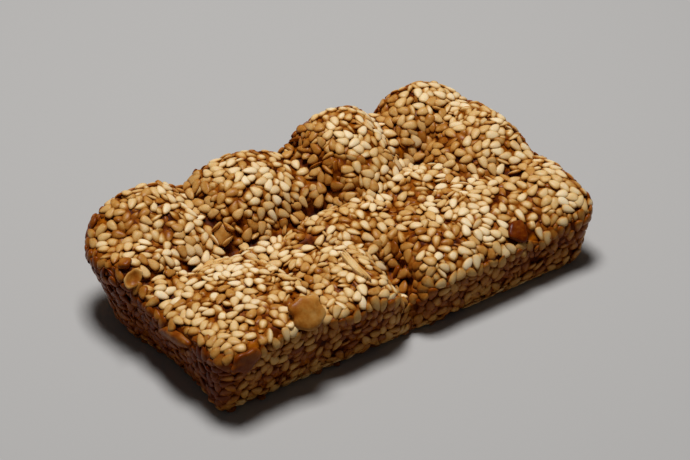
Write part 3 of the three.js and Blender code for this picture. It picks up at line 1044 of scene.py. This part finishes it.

# What seeds have more on the sides, underneath, facing left and in the creases. On the sides it is
# partly a deeper coat and partly painted shade; facing left and in the creases it is painted shade.
SIDE_COAT_AND_SHADE_TONE, SIDE_COAT_AND_SHADE_GLAZE = 0.5, 0.4
UNDER_GLAZE = 0.45
# Painted shade on the left-facing side.
LEFT_SHADE_TONE, LEFT_SHADE_GLAZE = 0.3, 0.5
# Painted shade in the creases.
CREASE_SHADE_GLAZE = 0.1

# The outer seeds' pieces, from the palest third to the darkest, which holds most of the seeds
# darkened by painted shade on the sides.
OUTER_PIECES = ("pale_seeds", "golden_seeds", "toasted_and_shaded_seeds")


def caramel_piece(seeds):
    """The caramel between the seeds: low in the gaps, climbing up every seed's edge."""
    points, quads, maps, normals = surface_grid(CARAMEL_CELL)
    depth = caramel_level(points, normals) + CLIMB_HEIGHT / 2
    points = points - normals * depth[:, None]
    offsets, radii = seeds.balls()
    centres = (seeds.middles[:, None] + offsets).reshape(-1, 3)
    i, j = close_pairs(points, centres, CLIMB_SEARCH)
    gap = np.maximum(np.linalg.norm(points[i] - centres[j], axis=1) - radii.ravel()[j], 0)
    climb = np.zeros(len(points))
    np.maximum.at(climb, i, np.exp(-gap / CLIMB_REACH))
    points = points + normals * (CLIMB_HEIGHT * climb)[:, None]
    points[:, 2] = np.maximum(points[:, 2], LOWEST_CARAMEL)
    return mesh_object("caramel", points, quads, caramel_material(), None, maps.reshape(-1, 2))


def seed_looks(seeds):
    """Tone and glaze of each seed: darker and more glazed on the sides, partly for a deeper coat
    and partly as painted shade, and facing left and in the creases as painted shade.
    """
    count = len(seeds.middles)
    patches = TONE_NOISE * soft_noise(seeds.middles, *TONE_PATCHES)
    tone = TONE + TONE_SPREAD * rng.normal(size=count) + patches
    tone += BROWN_TONE * (rng.random(count) < BROWN_SHARE)
    patches = GLAZE_NOISE * soft_noise(seeds.middles, *GLAZE_PATCHES)
    glaze_and_shade = GLAZE + GLAZE_SPREAD * rng.normal(size=count) + patches
    stuck = rng.random(count) < STUCK_SHARE
    side, left = sides(seeds.up), np.clip(-seeds.up[:, 0], 0, 1)
    # Partly a deeper coat and partly painted shade: seeds on the sides are darker and more glazed.
    tone += SIDE_COAT_AND_SHADE_TONE * side
    glaze_and_shade += STUCK_GLAZE * stuck + SIDE_COAT_AND_SHADE_GLAZE * side + UNDER_GLAZE * underneath(seeds.up)
    # Painted shade: seeds facing left are darkened and glazed to stand in for the shade on that
    # side.
    tone += LEFT_SHADE_TONE * left
    # Painted shade: the glaze facing left and in the creases darkens them.
    glaze_and_shade += LEFT_SHADE_GLAZE * left + CREASE_SHADE_GLAZE * creases_at(seeds.middles, seeds.up)
    return np.clip(tone, 0, 1), np.clip(glaze_and_shade, 0, 1)


def build_slab():
    """Packs the seeds, then makes the caramel, the seeds' pieces and the flakes."""
    points, quads, _, _ = surface_grid(PACKING_CELL)
    tree = BVHTree.FromPolygons(points.tolist(), quads.tolist())
    seeds = pack_seeds(tree, scattered_seeds(tree, points, quads))
    seeds = clear_of_flakes(seeds.part(seeds.depth < DEEPEST))
    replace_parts(caramel_piece(seeds), "sesame_slab")

    seeds = seeds.part(seeds.reach() < caramel_level(seeds.middles, seeds.up))
    skin = seed_material()
    outer = seeds.part(seeds.depth < OUTER_DEPTH)
    tone, glaze_and_shade = seed_looks(outer)
    ranks = np.argsort(np.argsort(tone)) * len(OUTER_PIECES) // len(tone)
    for rank, name in enumerate(OUTER_PIECES):
        chosen = ranks == rank
        seed_piece(name, outer.part(chosen), (tone[chosen], glaze_and_shade[chosen]), skin)
    deep = seeds.part(seeds.depth >= OUTER_DEPTH)
    seed_piece("deep_seeds", deep, seed_looks(deep), skin, DEEP_SEED_RINGS)

    standing = edge_seeds(tree)
    seed_piece("edge_seeds", standing, seed_looks(standing), skin)

    for flake in FLAKES:
        flake_piece(flake, skin)


build_slab()

# ---------------------------------------------------------------------------
# Floor, light and camera.

# The photo's view, its scale in the middle and its width.
CAMERA_AZIMUTH = -35.5
CAMERA_ELEVATION = 39.5
CAMERA_DISTANCE = 0.65
CAMERA_AIM = Vector((2.35, 0.02, 11.25)) * MM
CAMERA_CLIP = 0.01
PIXELS_PER_MM = 4.75
IMAGE_WIDTH = 690
SENSOR_WIDTH = 36

# One square lamp above and behind: its place in the sky, its power and its size.
LAMP_AZIMUTH, LAMP_ELEVATION = 160, 80
LAMP_DISTANCE = 0.6
LAMP_AIM = Vector((0, 0, 0.01))
LAMP_WATTS = 3.9
LAMP_SIZE = 0.18

SKY_COLOUR = (1.0, 0.98, 0.95, 1)
SKY_STRENGTH = 0.04

FLOOR_REACH = 3.0
FLOOR_COLOUR = (0.43, 0.42, 0.41, 1)
FLOOR_ROUGHNESS = 0.9


def direction(azimuth, elevation):
    """Unit vector towards a place in the sky. Azimuth 0 is in front, at -Y."""
    a, e = math.radians(azimuth), math.radians(elevation)
    return Vector((math.sin(a) * math.cos(e), -math.cos(a) * math.cos(e), math.sin(e)))


def stand(item, away, distance, aim):
    """Puts a camera or light at a distance from aim, looking at it."""
    item.location = aim + away * distance
    item.rotation_mode = "QUATERNION"
    item.rotation_quaternion = away.to_track_quat("Z", "Y")
    bpy.context.scene.collection.objects.link(item)
    return item


def lamp():
    """The only lamp."""
    light = bpy.data.lights.new("key", "AREA")
    light.energy = LAMP_WATTS
    light.size = LAMP_SIZE
    away = direction(LAMP_AZIMUTH, LAMP_ELEVATION)
    stand(bpy.data.objects.new("key", light), away, LAMP_DISTANCE, LAMP_AIM)


def floor():
    """The board under the slab, plain and much wider than the picture."""
    mesh = bpy.data.meshes.new("floor")
    signs = ((-1, -1), (1, -1), (1, 1), (-1, 1))
    corners = [(FLOOR_REACH * x, FLOOR_REACH * y, 0) for x, y in signs]
    mesh.from_pydata(corners, [], [(0, 1, 2, 3)])
    plane = bpy.data.objects.new("floor", mesh)
    nodes = Nodes("floor")
    nodes.set("Base Color", FLOOR_COLOUR)
    nodes.set("Roughness", FLOOR_ROUGHNESS)
    mesh.materials.append(nodes.material)
    bpy.context.scene.collection.objects.link(plane)


def camera():
    """The photo's view."""
    lens = bpy.data.cameras.new("camera")
    lens.sensor_width = SENSOR_WIDTH
    lens.lens = SENSOR_WIDTH * PIXELS_PER_MM * (CAMERA_DISTANCE / MM) / IMAGE_WIDTH
    lens.clip_start = CAMERA_CLIP
    away = direction(CAMERA_AZIMUTH, CAMERA_ELEVATION)
    item = stand(bpy.data.objects.new("camera", lens), away, CAMERA_DISTANCE, CAMERA_AIM)
    bpy.context.scene.camera = item


def surroundings():
    """Faint, even light from all round."""
    world = bpy.data.worlds.new("studio")
    world.use_nodes = True
    background = world.node_tree.nodes["Background"]
    background.inputs["Color"].default_value = SKY_COLOUR
    background.inputs["Strength"].default_value = SKY_STRENGTH
    bpy.context.scene.world = world


floor()
camera()
surroundings()
lamp()
bpy.context.scene.view_settings.view_transform = "Standard"
